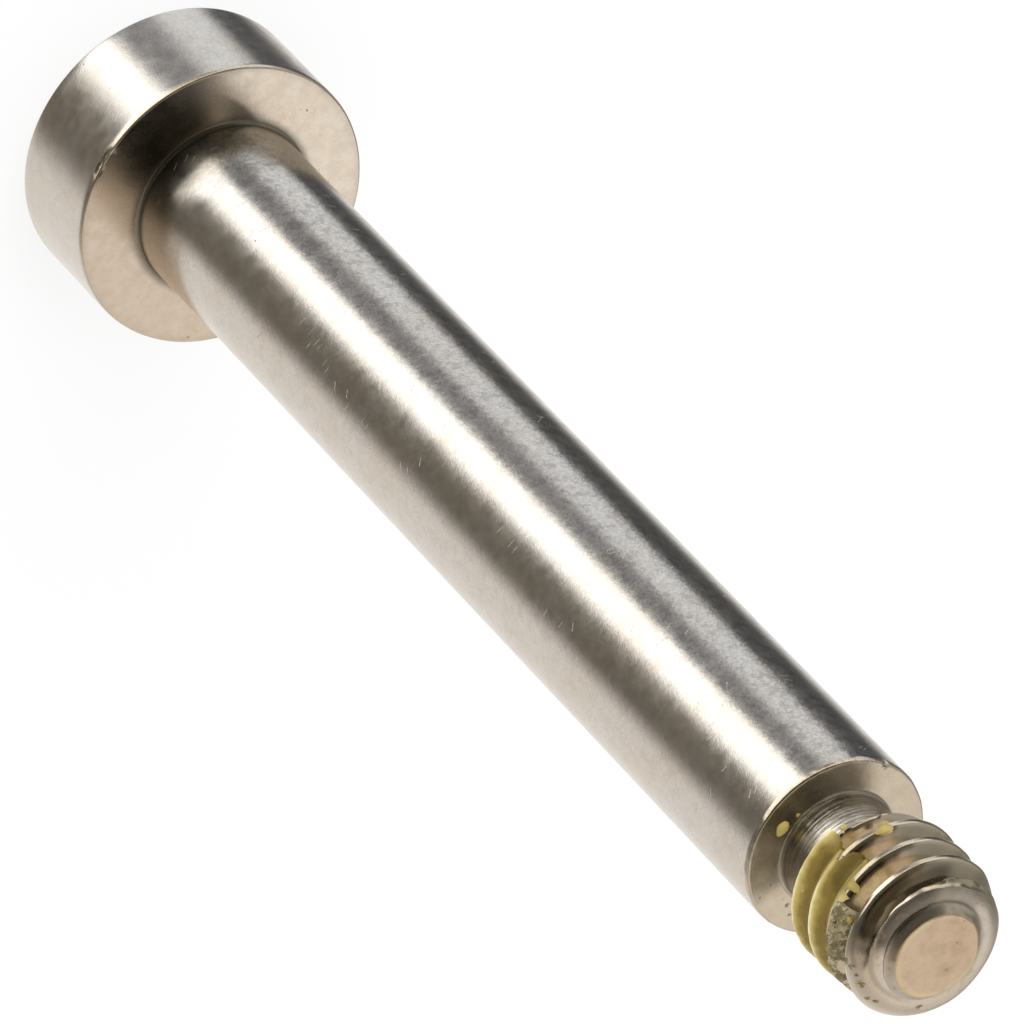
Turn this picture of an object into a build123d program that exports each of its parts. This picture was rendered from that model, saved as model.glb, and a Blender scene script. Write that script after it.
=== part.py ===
"""Shoulder bolt: a plain cylindrical head with a hex socket, a long ground shoulder, a turned neck and a
short right-hand thread with a locking patch.

Millimetres. The origin is the centre of the head's outer face, where the bolt stands on its head, and +Z
runs along the axis towards the threaded end.
"""

from build123d import *
import math
import os

# ---- driving dimensions --------------------------------------------------------------------------

# head
HEAD_DIAMETER = 8.0
HEAD_HEIGHT = 3.3
HEAD_DRIVE_ROUNDING = 0.08  # rounding of the rim on the drive side
HEAD_BEARING_BREAK = 0.03  # edge break of the rim on the bearing side
HEAD_FILLET = 0.12  # fillet between the bearing face and the shoulder

# hex socket
SOCKET_ACROSS_FLATS = 2.38
SOCKET_DEPTH = 1.75  # of the flats
SOCKET_MOUTH_ANGLE = 45.0  # of the countersink at the mouth, from the axis
SOCKET_MOUTH_CLEARANCE = 0.12  # radius that the countersink adds outside the hexagon's corners
SOCKET_POINT_ANGLE = 59.0  # of the drill point under the hexagon, from the axis

# shoulder
SHOULDER_DIAMETER = 4.74
SHOULDER_LENGTH = 31.75
SHOULDER_END_BREAK = 0.06  # edge break where the shoulder ends

# neck between the shoulder and the thread
NECK_SHARE = 0.921  # diameter as a share of the thread's root diameter
NECK_LENGTH = 1.2
NECK_FILLET = 0.1

# thread
THREAD_DIAMETER = 4.166
THREAD_PITCH = 25.4 / 32
THREAD_FLANK_ANGLE = 30.0  # half of the angle of the vee
THREAD_CREST_SHARE = 0.125  # width of the crest as a share of the pitch
THREAD_DEPTH_SHARE = 0.6134  # depth as a share of the pitch
THREAD_START_ANGLE = 45.0  # of the chamfer that leads out of the neck, from the axis
GROOVE_HEIGHT = 0.582  # centre of the groove's first turn above the shoulder's end face, on the +X side
CUTTER_OVERSHOOT = 0.04  # how far the cutters stand out of the rod that they cut

# point
POINT_HEIGHT = 4.57  # the shoulder's end face to the point's flat face
POINT_SHARE = 0.826  # diameter of the flat face as a share of the thread's diameter
POINT_TAPER = 22.0  # half angle of the lead
POINT_ROUNDING = 0.05

# raised disk on the point
DISK_SHARE = 0.699  # diameter as a share of the thread's root diameter
DISK_HEIGHT = 0.23
DISK_WALL_ANGLE = 31.0  # of its wall, from the axis
DISK_ROUNDING = 0.03
DISK_FILLET = 0.06

# locking patch
PATCH_START_ANGLE = 265.0  # counterclockwise from +X, seen from the threaded end
PATCH_ARC = 180.0
PATCH_FIRST_CREST = 1  # its first crest follows this turn of the groove
PATCH_CRESTS = 2  # crests that it covers
PATCH_THICKNESS = 0.055  # over a crest
PATCH_GROOVE_DEPTH = 0.2  # of its surface below a crest, in the middle of a groove
PATCH_LOW_EDGE = 0.22  # below its first crest
PATCH_HIGH_EDGE = 0.6  # above its last crest
PATCH_SEAT_SHARE = 0.92  # its inner side as a share of the thread's root radius, inside the steel

# ---- derived sizes -------------------------------------------------------------------------------

head_radius = HEAD_DIAMETER / 2
shoulder_radius = SHOULDER_DIAMETER / 2
thread_radius = THREAD_DIAMETER / 2
thread_depth = THREAD_DEPTH_SHARE * THREAD_PITCH
root_radius = thread_radius - thread_depth
neck_radius = NECK_SHARE * root_radius
point_radius = POINT_SHARE * thread_radius
disk_radius = DISK_SHARE * root_radius
disk_foot_radius = disk_radius + DISK_HEIGHT * math.tan(math.radians(DISK_WALL_ANGLE))
socket_radius = SOCKET_ACROSS_FLATS / 2
mouth_radius = socket_radius / math.cos(math.pi / 6) + SOCKET_MOUTH_CLEARANCE

shoulder_end = HEAD_HEIGHT + SHOULDER_LENGTH
neck_end = shoulder_end + NECK_LENGTH
point_face = shoulder_end + POINT_HEIGHT
overall_length = point_face + DISK_HEIGHT

flank_slope = math.tan(math.radians(THREAD_FLANK_ANGLE))
groove_width = (1 - THREAD_CREST_SHARE) * THREAD_PITCH
root_width = groove_width - 2 * thread_depth * flank_slope
cutter_radius = thread_radius + CUTTER_OVERSHOOT
cutter_width = groove_width + 2 * CUTTER_OVERSHOOT * flank_slope

groove_height = shoulder_end + GROOVE_HEIGHT
groove_turns = math.ceil((point_face - groove_height) / THREAD_PITCH + 0.5)
groove_end = groove_height + groove_turns * THREAD_PITCH
rod_end = groove_end + THREAD_PITCH
patch_seat_radius = PATCH_SEAT_SHARE * root_radius


def corner(outline, radius, height):
    """The corner of a half outline at this radius and height."""
    target = Vector(radius, height)
    return outline.vertices().sort_by(lambda vertex: (Vector(vertex) - target).length)[0]


# ---- threaded end: a rod is grooved first, and then its neck and point are turned -----------------

with BuildPart() as threaded_end:
    with BuildSketch(Plane.XY.offset(shoulder_end)):
        Circle(thread_radius)
    extrude(amount=rod_end - shoulder_end)

    # the groove starts over the neck and ends past the point, so the first and last crests fade out
    with BuildSketch(Plane.XZ):
        with BuildLine():
            Polyline(
                (root_radius, groove_height - root_width / 2),
                (cutter_radius, groove_height - cutter_width / 2),
                (cutter_radius, groove_height + cutter_width / 2),
                (root_radius, groove_height + root_width / 2),
                close=True,
            )
        make_face()
    with BuildLine(Plane.XY.offset(groove_height)):
        Helix(THREAD_PITCH, groove_turns * THREAD_PITCH, root_radius)
    sweep(is_frenet=True, mode=Mode.SUBTRACT)

    # neck, with the chamfer that leads out of it to the thread
    with BuildSketch(Plane.XZ) as neck_outline:
        with BuildLine():
            chamfer_height = (cutter_radius - neck_radius) / math.tan(math.radians(THREAD_START_ANGLE))
            Polyline(
                (neck_radius, shoulder_end),
                (neck_radius, neck_end),
                (cutter_radius, neck_end + chamfer_height),
                (cutter_radius, shoulder_end),
                close=True,
            )
        make_face()
        fillet(corner(neck_outline, neck_radius, shoulder_end), NECK_FILLET)
    revolve(axis=Axis.Z, mode=Mode.SUBTRACT)

    # point: tapered lead, flat face and the raised disk in its middle
    with BuildSketch(Plane.XZ) as point_outline:
        with BuildLine():
            lead_height = (cutter_radius - point_radius) / math.tan(math.radians(POINT_TAPER))
            Polyline(
                (cutter_radius, point_face - lead_height),
                (point_radius, point_face),
                (disk_foot_radius, point_face),
                (disk_radius, overall_length),
                (0, overall_length),
                (0, rod_end),
                (cutter_radius, rod_end),
                close=True,
            )
        make_face()
        fillet(corner(point_outline, point_radius, point_face), POINT_ROUNDING)
        fillet(corner(point_outline, disk_foot_radius, point_face), DISK_FILLET)
        fillet(corner(point_outline, disk_radius, overall_length), DISK_ROUNDING)
    revolve(axis=Axis.Z, mode=Mode.SUBTRACT)

# ---- bolt: one turned piece ----------------------------------------------------------------------

with BuildPart() as shoulder_bolt:
    with BuildSketch(Plane.XZ) as bolt_outline:
        with BuildLine():
            Polyline(
                (0, 0),
                (head_radius, 0),
                (head_radius, HEAD_HEIGHT),
                (shoulder_radius, HEAD_HEIGHT),
                (shoulder_radius, shoulder_end),
                (0, shoulder_end),
                close=True,
            )
        make_face()
        fillet(corner(bolt_outline, head_radius, 0), HEAD_DRIVE_ROUNDING)
        chamfer(corner(bolt_outline, head_radius, HEAD_HEIGHT), HEAD_BEARING_BREAK)
        fillet(corner(bolt_outline, shoulder_radius, HEAD_HEIGHT), HEAD_FILLET)
        chamfer(corner(bolt_outline, shoulder_radius, shoulder_end), SHOULDER_END_BREAK)
    revolve(axis=Axis.Z)
    add(threaded_end.part)

    # hex socket with a drill point below it and a countersunk mouth
    with BuildSketch(Plane.XY):
        RegularPolygon(socket_radius, 6, major_radius=False)
    extrude(amount=SOCKET_DEPTH, mode=Mode.SUBTRACT)
    with BuildSketch(Plane.XZ):
        with BuildLine():
            drill_height = socket_radius / math.tan(math.radians(SOCKET_POINT_ANGLE))
            Polyline(
                (0, SOCKET_DEPTH),
                (socket_radius, SOCKET_DEPTH),
                (0, SOCKET_DEPTH + drill_height),
                close=True,
            )
        make_face()
        with BuildLine():
            mouth_height = mouth_radius / math.tan(math.radians(SOCKET_MOUTH_ANGLE))
            Polyline((0, 0), (mouth_radius, 0), (0, mouth_height), close=True)
        make_face()
    revolve(axis=Axis.Z, mode=Mode.SUBTRACT)

shoulder_bolt.part.label = "shoulder_bolt"

# ---- locking patch: a deposit that fills the first grooves of the thread and coats their crests ---

with BuildPart() as patch_blank:
    # its outer side follows the thread's turns, and its inner side lies inside the thread
    first_crest = groove_height + THREAD_PITCH * (PATCH_FIRST_CREST - 0.5 + PATCH_START_ANGLE / 360)
    low_edge = -PATCH_LOW_EDGE
    high_edge = THREAD_PITCH * (PATCH_CRESTS - 1) + PATCH_HIGH_EDGE
    wave_steps = 5 * PATCH_CRESTS
    wave = []
    for step in range(wave_steps + 1):
        height = low_edge + (high_edge - low_edge) * step / wave_steps
        dip = (1 - math.cos(2 * math.pi * height / THREAD_PITCH)) / 2
        wave.append((thread_radius + PATCH_THICKNESS - PATCH_GROOVE_DEPTH * dip, first_crest + height))
    with BuildSketch(Plane.XZ):
        with BuildLine():
            Spline(*wave)
            Polyline(wave[-1], (patch_seat_radius, wave[-1][1]), (patch_seat_radius, wave[0][1]), wave[0])
        make_face()
    with BuildLine(Plane.XY.offset(first_crest)):
        Helix(THREAD_PITCH, THREAD_PITCH * PATCH_ARC / 360, patch_seat_radius)
    sweep(is_frenet=True)

with BuildPart() as locking_patch:
    with Locations(Rotation(0, 0, PATCH_START_ANGLE)):
        add(patch_blank.part)
    add(threaded_end.part, mode=Mode.SUBTRACT)

locking_patch.part.label = "locking_patch"

os.makedirs("parts", exist_ok=True)
export_step(shoulder_bolt.part, "parts/shoulder_bolt.step")
export_step(locking_patch.part, "parts/locking_patch.step")
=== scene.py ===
"""Shoulder bolt: detailed pieces, materials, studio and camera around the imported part.

Lengths are in millimetres until a mesh is made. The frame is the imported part's: the origin is the centre of
the head's outer face, which the bolt stands on, and +Z runs towards the threaded end. Angles round the axis
are in degrees, counterclockwise from +X seen from the threaded end.
"""

import math
from functools import reduce

import bmesh
import bpy
import numpy as np
from mathutils import Matrix, Vector


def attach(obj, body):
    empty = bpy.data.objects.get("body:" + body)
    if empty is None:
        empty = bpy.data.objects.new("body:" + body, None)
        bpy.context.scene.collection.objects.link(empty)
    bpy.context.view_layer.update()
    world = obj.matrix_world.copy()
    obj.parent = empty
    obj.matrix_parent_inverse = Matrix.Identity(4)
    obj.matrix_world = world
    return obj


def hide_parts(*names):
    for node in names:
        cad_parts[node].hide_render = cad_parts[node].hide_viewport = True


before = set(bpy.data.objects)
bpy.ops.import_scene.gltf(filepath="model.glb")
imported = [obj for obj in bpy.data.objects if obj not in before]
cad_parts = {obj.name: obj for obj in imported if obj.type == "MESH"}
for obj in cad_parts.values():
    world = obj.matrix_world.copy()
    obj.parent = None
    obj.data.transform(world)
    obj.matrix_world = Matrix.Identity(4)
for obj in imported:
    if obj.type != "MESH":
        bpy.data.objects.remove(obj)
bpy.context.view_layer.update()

MM = 0.001

# ---- sizes ----

HEAD_RADIUS = 4.0
HEAD_HEIGHT = 3.3
HEAD_DRIVE_ROUNDING = 0.08
HEAD_FILLET = 0.12
# the rolled rims of the head and of the shoulder's end: inward and back from the sharp corner
RIM_ROLL = [(0.003, 0.11), (0.012, 0.07), (0.022, 0.035), (0.034, 0.014), (0.05, 0.003), (0.07, 0.0)]

SOCKET_FLAT_RADIUS = 1.19
SOCKET_DEPTH = 1.75
SOCKET_MOUTH_RADIUS = 1.494
SOCKET_POINT_DEPTH = 2.465

SHOULDER_RADIUS = 2.37
SHOULDER_END = 35.05

NECK_RADIUS = 1.47
NECK_END = 36.25
NECK_FILLET = 0.1
RING_HEIGHT = 0.006  # of the rings that turning left

THREAD_RADIUS = 2.083
ROOT_RADIUS = 1.596
PITCH = 25.4 / 32
ROOT_HALF_WIDTH = 0.0662
ROOT_BLEND = 0.06
GROOVE_HALF_WIDTH = 0.3473
GROOVE_HEIGHT = 35.632
GROOVE_NARROWING = 0.07  # on the point's side, over these turns
GROOVE_NARROWS = (4.4, 4.6)
GROOVE_RUN_OUT = (4.78, 5.06)  # turns
CREST_RADIUS = THREAD_RADIUS - 0.01
CREST_BLEND = 0.03
CREST_EDGE = 0.03
CREST_ROUNDING = 0.19
THREAD_SWAY = 0.007  # of the crests' radius and of the groove's place
SWAYS_PER_TURN = 55
TIP_BLEND = 0.04

# the edge between the neck's cone and the thread, where it is visible
LAND = 0.055
LAND_WIDTH = 0.07
LAND_SLOPE = 0.2
LAND_END_SLOPE = 5
LAND_SIDE = 0.5  # how far the cone stands off elsewhere
LEAD_START_RADIUS = 1.8

POINT_FACE = 39.62
POINT_RADIUS = 1.72
POINT_SLOPE = math.tan(math.radians(32.0))
POINT_FALL = 0.35  # of the face outside its flat middle
POINT_FLAT_RADIUS = 1.45
RIDGE_HEIGHT = 39.6
RIDGE_SLOPE = 0.2
RIDGE_WIDTH = 0.1
RIDGE_BURR = 0.35  # the height that the burr fades over
RIDGE_RADII = [  # by angle
    (0, 1.76), (160, 1.74), (186, 1.72), (209, 1.68), (223, 1.7), (243, 1.745), (262, 1.775), (275, 1.785),
    (287, 1.755), (310, 1.76), (360, 1.76),
]
WORN_START = 38.93
WORN_FACE_RADIUS = 1.42
WORN_REACH = 0.09
BURR_HEIGHT = 39.36  # of the burr in the last groove
BURR_SIZE = 0.06
BURR_HALF_WIDTH = 0.028
DISK_RADII = [
    (0, 1.19), (38, 1.17), (77, 1.11), (111, 1.12), (142, 1.06), (178, 1.09), (216, 1.12), (245, 1.14),
    (272, 1.19), (293, 1.2), (312, 1.18), (340, 1.19), (360, 1.19),
]
DISK_WALL = [(0.19, 0.012), (0.15, 0.035), (0.11, 0.075), (0.065, 0.13), (0.03, 0.18), (0.008, 0.213)]
DISK_FOOT_RADIUS = 1.33
DISK_TOP = 39.85

COLUMNS = 288
MERGE_DISTANCE = 1e-8


# ---- helpers for shapes ----


def smooth_min(a, b, blend):
    """The lower of two values, rounded where they cross."""
    share = np.clip(0.5 + 0.5 * (b - a) / blend, 0, 1)
    return b * (1 - share) + a * share - blend * share * (1 - share)


def smooth_max(a, b, blend):
    return -smooth_min(-a, -b, blend)


def ease(low, high, value):
    """0 below low, 1 above high, and smooth in between."""
    share = np.clip((value - low) / (high - low), 0, 1)
    return share * share * (3 - 2 * share)


def within(value, rise, fall):
    """1 inside a span and 0 outside it; rise and fall say where it starts and where it ends."""
    return ease(*rise, value) * (1 - ease(*fall, value))


def read(table, value):
    """A value from a table of pairs."""
    return np.interp(value, *zip(*table))


def hump(value, middle, width):
    """1 in the middle, falling off smoothly on both sides."""
    return np.exp(-(((value - middle) / width) ** 2))


def noise(x, y, seed, period=None):
    """Smooth noise from -1 to 1 with one lump per unit; it repeats in x after a whole period."""
    table = np.random.default_rng(seed).uniform(-1, 1, (64, 64))
    x, y = np.broadcast_arrays(np.asarray(x, float), np.asarray(y, float))
    x0, y0 = np.floor(x).astype(int), np.floor(y).astype(int)
    u, v = x - x0, y - y0
    u, v = u * u * (3 - 2 * u), v * v * (3 - 2 * v)
    wrap = period or 64
    left, right = np.mod(x0, wrap) % 64, np.mod(x0 + 1, wrap) % 64
    low, high = np.mod(y0, 64), np.mod(y0 + 1, 64)
    return (
        table[left, low] * (1 - u) * (1 - v)
        + table[right, low] * u * (1 - v)
        + table[left, high] * (1 - u) * v
        + table[right, high] * u * v
    )


def ring_noise(angle, lumps, seed):
    """Smooth noise with so many lumps round the axis."""
    return noise(angle / 360 * lumps, 0.5, seed, lumps)


def thread_radius(angle, height):
    """Radius of the bare thread's surface, before the neck and the point cut it."""
    along = np.mod(angle, 360) / 360
    turn = (height - GROOVE_HEIGHT) / PITCH - along
    travelled = (np.floor(turn) + along) * SWAYS_PER_TURN
    sway = THREAD_SWAY * noise(travelled, 0.5, 12)
    from_groove = ((turn + 0.5) % 1 - 0.5) * PITCH + sway
    # near its end the groove is narrower on the side of the point
    groove_turn = np.floor(turn + 0.5) + along
    near_end = ease(*GROOVE_NARROWS, groove_turn)
    from_groove = from_groove + GROOVE_NARROWING * near_end * ease(-0.15, 0.1, from_groove)
    slope = (THREAD_RADIUS - ROOT_RADIUS) / (GROOVE_HALF_WIDTH - ROOT_HALF_WIDTH)
    crest = CREST_RADIUS + THREAD_SWAY * noise(travelled, 0.5, 11)
    # towards the head the crest has a crisp edge, and towards the point it is worn round
    crisp = smooth_min(ROOT_RADIUS + (from_groove - ROOT_HALF_WIDTH) * slope, crest, CREST_BLEND)
    past_edge = np.maximum(from_groove + PITCH / 2 - CREST_EDGE, 0)
    full = CREST_ROUNDING - CREST_EDGE
    round_part = np.minimum(past_edge, full)
    drop = slope * (round_part * round_part / (2 * full) + past_edge - round_part)
    radius = smooth_max(ROOT_RADIUS, np.where(from_groove > 0, crisp, crest - drop), ROOT_BLEND)
    # the groove runs out before it reaches the point's face again
    return radius + (crest - radius) * ease(*GROOVE_RUN_OUT, groove_turn)


def worn(angle):
    """How far the point's edge is worn: 0 where it is a burred ridge, and 1 on the other side."""
    return 1 - within(np.mod(angle, 360), (160, 208), (286, 316))


def worn_reach(angle):
    """Radius that the point's wide rounding starts from."""
    return THREAD_RADIUS - WORN_REACH * within(np.mod(angle, 360), (70, 110), (200, 240))


def point_radius(angle, height):
    """Radius of the point's outline: a cone up to a ridge on one side and one wide rounding on the other."""
    around = np.mod(angle, 360)
    burr = 0.02 * ring_noise(around, 36, 13) + 0.012 * ring_noise(around, 60, 14)
    below = RIDGE_HEIGHT - height
    steep = POINT_SLOPE * np.maximum(below - RIDGE_WIDTH, 0)
    cone = read(RIDGE_RADII, around) + RIDGE_SLOPE * below + steep
    cone = cone + burr * ease(POINT_FACE - RIDGE_BURR, POINT_FACE, height)
    rise = np.clip((height - WORN_START) / (POINT_FACE - WORN_START), 0, 1)
    rounded = WORN_FACE_RADIUS + (worn_reach(angle) - WORN_FACE_RADIUS) * np.sqrt(1 - rise * rise)
    return cone + (rounded - cone) * worn(angle)


def point_height(radius, angle):
    """Height of the point's face: flat round the disk and falling towards its edge."""
    ridge = POINT_FACE - POINT_FALL * np.maximum(radius - POINT_FLAT_RADIUS, 0) ** 2
    out = np.clip((radius - WORN_FACE_RADIUS) / (worn_reach(angle) - WORN_FACE_RADIUS), 0, 1)
    rounded = WORN_START + (POINT_FACE - WORN_START) * np.sqrt(1 - out * out)
    return ridge + (rounded - ridge) * worn(angle)


def lead_radius(around):
    """Radius where the neck's cone meets the thread."""
    return np.interp(around, LEAD_ANGLES, LEAD_RADII)


def tip_radius(angle, height):
    """Radius of the threaded end between the neck and the point's flat face."""
    angle, height = np.broadcast_arrays(np.asarray(angle, float), np.asarray(height, float))
    around = np.mod(angle, 360)
    above = height - (NECK_END + lead_radius(around) - NECK_RADIUS)
    land = LAND_SIDE * (1 - within(around, (224, 232), (252, 258)))
    land = land + lead_radius(around) - LAND - LAND_SLOPE * above
    land = land + LAND_END_SLOPE * np.maximum(above - LAND_WIDTH, 0)
    neck = np.minimum(NECK_RADIUS + (height - NECK_END), land)
    radius = smooth_min(thread_radius(angle, height), point_radius(angle, height), TIP_BLEND)
    # a raised burr in the last groove
    middle = BURR_HEIGHT + 0.02 * noise(around / 4, 0.5, 19)
    burr = BURR_SIZE * within(around, (211, 216), (230, 234))
    radius = radius + burr * hump(height, middle, BURR_HALF_WIDTH)
    return smooth_min(radius, neck, TIP_BLEND)


LEAD_ANGLES = np.arange(220.0, 266.0, 2.0)
LEAD_RADII = np.full(len(LEAD_ANGLES), LEAD_START_RADIUS)
for _ in range(60):
    LEAD_RADII = 0.8 * LEAD_RADII + 0.2 * thread_radius(LEAD_ANGLES, NECK_END + LEAD_RADII - NECK_RADIUS)


class Lathe:
    """Rows of points round the axis, from which one closed skin is made."""

    def __init__(self, columns):
        self.angles = np.arange(columns) * 360 / columns
        self.rows = []
        self.finishes = []
        self.finish = 0

    def row(self, radius, height):
        full = np.ones(len(self.angles))
        self.rows.append((radius * full, height * full))
        self.finishes.append(self.finish)

    def line(self, start, end, steps):
        """Rows from after start up to and with end."""
        for step in range(1, steps + 1):
            share = step / steps
            self.row(start[0] + (end[0] - start[0]) * share, start[1] + (end[1] - start[1]) * share)

    def arc(self, centre, radius, start, end, steps):
        """Rows on a rounding, from its start angle up to and with its end angle."""
        for step in range(steps + 1):
            turn = math.radians(start + (end - start) * step / steps)
            self.row(centre[0] + radius * math.cos(turn), centre[1] + radius * math.sin(turn))

    def points(self):
        radius = np.array([r for r, _ in self.rows])
        height = np.array([z for _, z in self.rows])
        turn = np.radians(self.angles)
        return np.stack([radius * np.cos(turn), radius * np.sin(turn), height], -1)


def merge_corners(mesh):
    """Merge equal corners, so that collapsed faces vanish, and drop what belongs to no face."""
    shape = bmesh.new()
    shape.from_mesh(mesh)
    bmesh.ops.remove_doubles(shape, verts=shape.verts, dist=MERGE_DISTANCE)
    loose = [vertex for vertex in shape.verts if not vertex.link_faces]
    bmesh.ops.delete(shape, geom=loose, context="VERTS")
    shape.to_mesh(mesh)
    shape.free()


def grid_mesh(name, points, finishes=None, closes_on=None):
    """A mesh from rows of points that run round the axis.

    finishes gives each row's material, and closes_on says which row each row runs into after its last
    column, where that isn't the row itself.
    """
    rows, columns, _ = points.shape
    mesh = bpy.data.meshes.new(name)
    index = np.arange(rows * columns).reshape(rows, columns)
    ahead = np.roll(index, -1, axis=1)
    if closes_on is not None:
        ahead[:, -1] = index[closes_on, 0]
    faces = np.stack([index[:-1], ahead[:-1], ahead[1:], index[1:]], -1).reshape(-1, 4)
    mesh.from_pydata((points.reshape(-1, 3) * MM).tolist(), [], faces.tolist())
    if finishes is not None:
        mesh.polygons.foreach_set("material_index", np.repeat(finishes[1:], columns).astype(np.int32))
    merge_corners(mesh)
    return mesh


def add_object(name, data):
    item = bpy.data.objects.new(name, data)
    bpy.context.scene.collection.objects.link(item)
    return item


def add_piece(name, mesh, materials, node=None):
    """A smooth-shaded object that rides on the part's body, and stands for a CAD node if one is given."""
    mesh.polygons.foreach_set("use_smooth", [True] * len(mesh.polygons))
    for material in materials:
        mesh.materials.append(material)
    piece = add_object(name, mesh)
    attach(piece, "root")
    if node:
        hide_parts(node)
    return piece


# ---- helpers for materials ----


class Nodes:
    """Short calls for building a node tree."""

    def __init__(self, tree):
        self.tree = tree
        tree.nodes.clear()

    def put(self, socket, value):
        if isinstance(value, bpy.types.NodeSocket):
            self.tree.links.new(value, socket)
        else:
            socket.default_value = value

    def fill(self, node, inputs):
        for key, value in inputs.items():
            self.put(node.inputs[key], value)

    def add(self, kind, inputs=(), **settings):
        """A node with these settings, and these values and links on its inputs."""
        node = self.tree.nodes.new("ShaderNode" + kind)
        for key, value in settings.items():
            setattr(node, key, value)
        self.fill(node, dict(inputs))
        return node

    def math(self, operation, *values):
        return self.add("Math", enumerate(values), operation=operation).outputs[0]

    def times(self, *values):
        return reduce(lambda a, b: self.math("MULTIPLY", a, b), values)

    def add_up(self, *values):
        return reduce(lambda a, b: self.math("ADD", a, b), values)

    def smooth(self, value, low, high, to_low=0, to_high=1):
        """A soft step from to_low at low to to_high at high."""
        inputs = enumerate((value, low, high, to_low, to_high))
        return self.add("MapRange", inputs, interpolation_type="SMOOTHSTEP").outputs[0]

    def window(self, value, rise, fall, top=1):
        """0 outside a span and top inside it; rise and fall say where it starts and where it ends."""
        return self.times(self.smooth(value, *rise, 0, top), self.smooth(value, *fall, 1, 0))

    def sway(self, noise, amount, value):
        """A value that a noise moves to and fro."""
        return self.math("MULTIPLY_ADD", self.math("SUBTRACT", noise, 0.5), amount, value)

    def mix(self, share, a, b):
        a, b = ((*value, 1) if isinstance(value, tuple) else value for value in (a, b))
        return self.add("Mix", {0: share, 6: a, 7: b}, data_type="RGBA").outputs[2]

    def noise(self, place, scale, detail=3, roughness=0.5):
        inputs = {"Vector": place, "Scale": scale, "Detail": detail, "Roughness": roughness}
        return self.add("TexNoise", inputs).outputs["Fac"]

    def vector(self, operation, a, b):
        node = self.add("VectorMath", {0: a, 1: b}, operation=operation)
        return node.outputs["Value" if operation == "DISTANCE" else "Vector"]

    def place(self):
        """Object coordinates in millimetres."""
        inputs = {0: self.add("TexCoord").outputs["Object"], "Scale": 1 / MM}
        return self.add("VectorMath", inputs, operation="SCALE").outputs[0]

    def bump(self, height):
        """A normal from a height in millimetres."""
        return self.add("Bump", {"Height": height, "Distance": MM}).outputs[0]

    def polar(self, place):
        """Radius, angle from 0 to 360 and height of a place."""
        x, y, z = self.add("SeparateXYZ", {0: place}).outputs
        radius = self.math("SQRT", self.math("MULTIPLY_ADD", x, x, self.times(y, y)))
        angle = self.math("DEGREES", self.math("ARCTAN2", y, x))
        return radius, self.math("FLOORED_MODULO", angle, 360), z

    def unrolled(self, angle, z, radius):
        """The skin of a round bar laid flat, in millimetres."""
        return self.add("CombineXYZ", {0: self.times(angle, math.radians(radius)), 1: z}).outputs[0]

    def spots(self, place, scale, size, share, dimensions="3D"):
        """1 in the middle of scattered spots; size is in cells, and share is how many cells have one."""
        inputs = {"Vector": place, "Scale": scale}
        node = self.add("TexVoronoi", inputs, voronoi_dimensions=dimensions)
        chosen = self.add("SeparateColor", {0: node.outputs["Color"]}).outputs[0]
        chosen = self.math("LESS_THAN", chosen, share)
        return self.times(chosen, self.smooth(node.outputs["Distance"], size * 0.4, size, 1, 0))

    def scratches(self, flat, turn, share, scale=1, dimensions="3D"):
        """Short thin strokes in one direction on an unrolled skin."""
        inputs = {"Vector": flat, "Angle": math.radians(turn)}
        turned = self.add("VectorRotate", inputs, rotation_type="Z_AXIS").outputs[0]
        return self.spots(self.vector("MULTIPLY", turned, STROKE_STRETCH), scale, 0.06, share, dimensions)


def new_material(name):
    material = bpy.data.materials.new(name)
    material.use_nodes = True
    nodes = Nodes(material.node_tree)
    shader = nodes.add("BsdfPrincipled")
    nodes.add("OutputMaterial", {0: shader.outputs[0]})
    return material, nodes, shader


STEEL = (0.62, 0.59, 0.55)
BROWN = (0.16, 0.11, 0.05)
BRIGHT = (0.97, 0.96, 0.94)
YELLOWED = (0.97, 0.94, 0.9)  # as shares of the steel's colour
DULLED = (0.55, 0.55, 0.55)
ANISOTROPY = 0.3
PIT_DEPTH = 0.012
STROKE_DEPTH = 0.006
STROKE_STRETCH = (0.28, 3.2, 1)


def scaled(colour, shares):
    return tuple(value * share for value, share in zip(colour, shares))


def on_face(radius, angle, height):
    """A place on a flat face, from its radius, angle and height."""
    turn = math.radians(angle)
    return (radius * math.cos(turn), radius * math.sin(turn), height)


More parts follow.
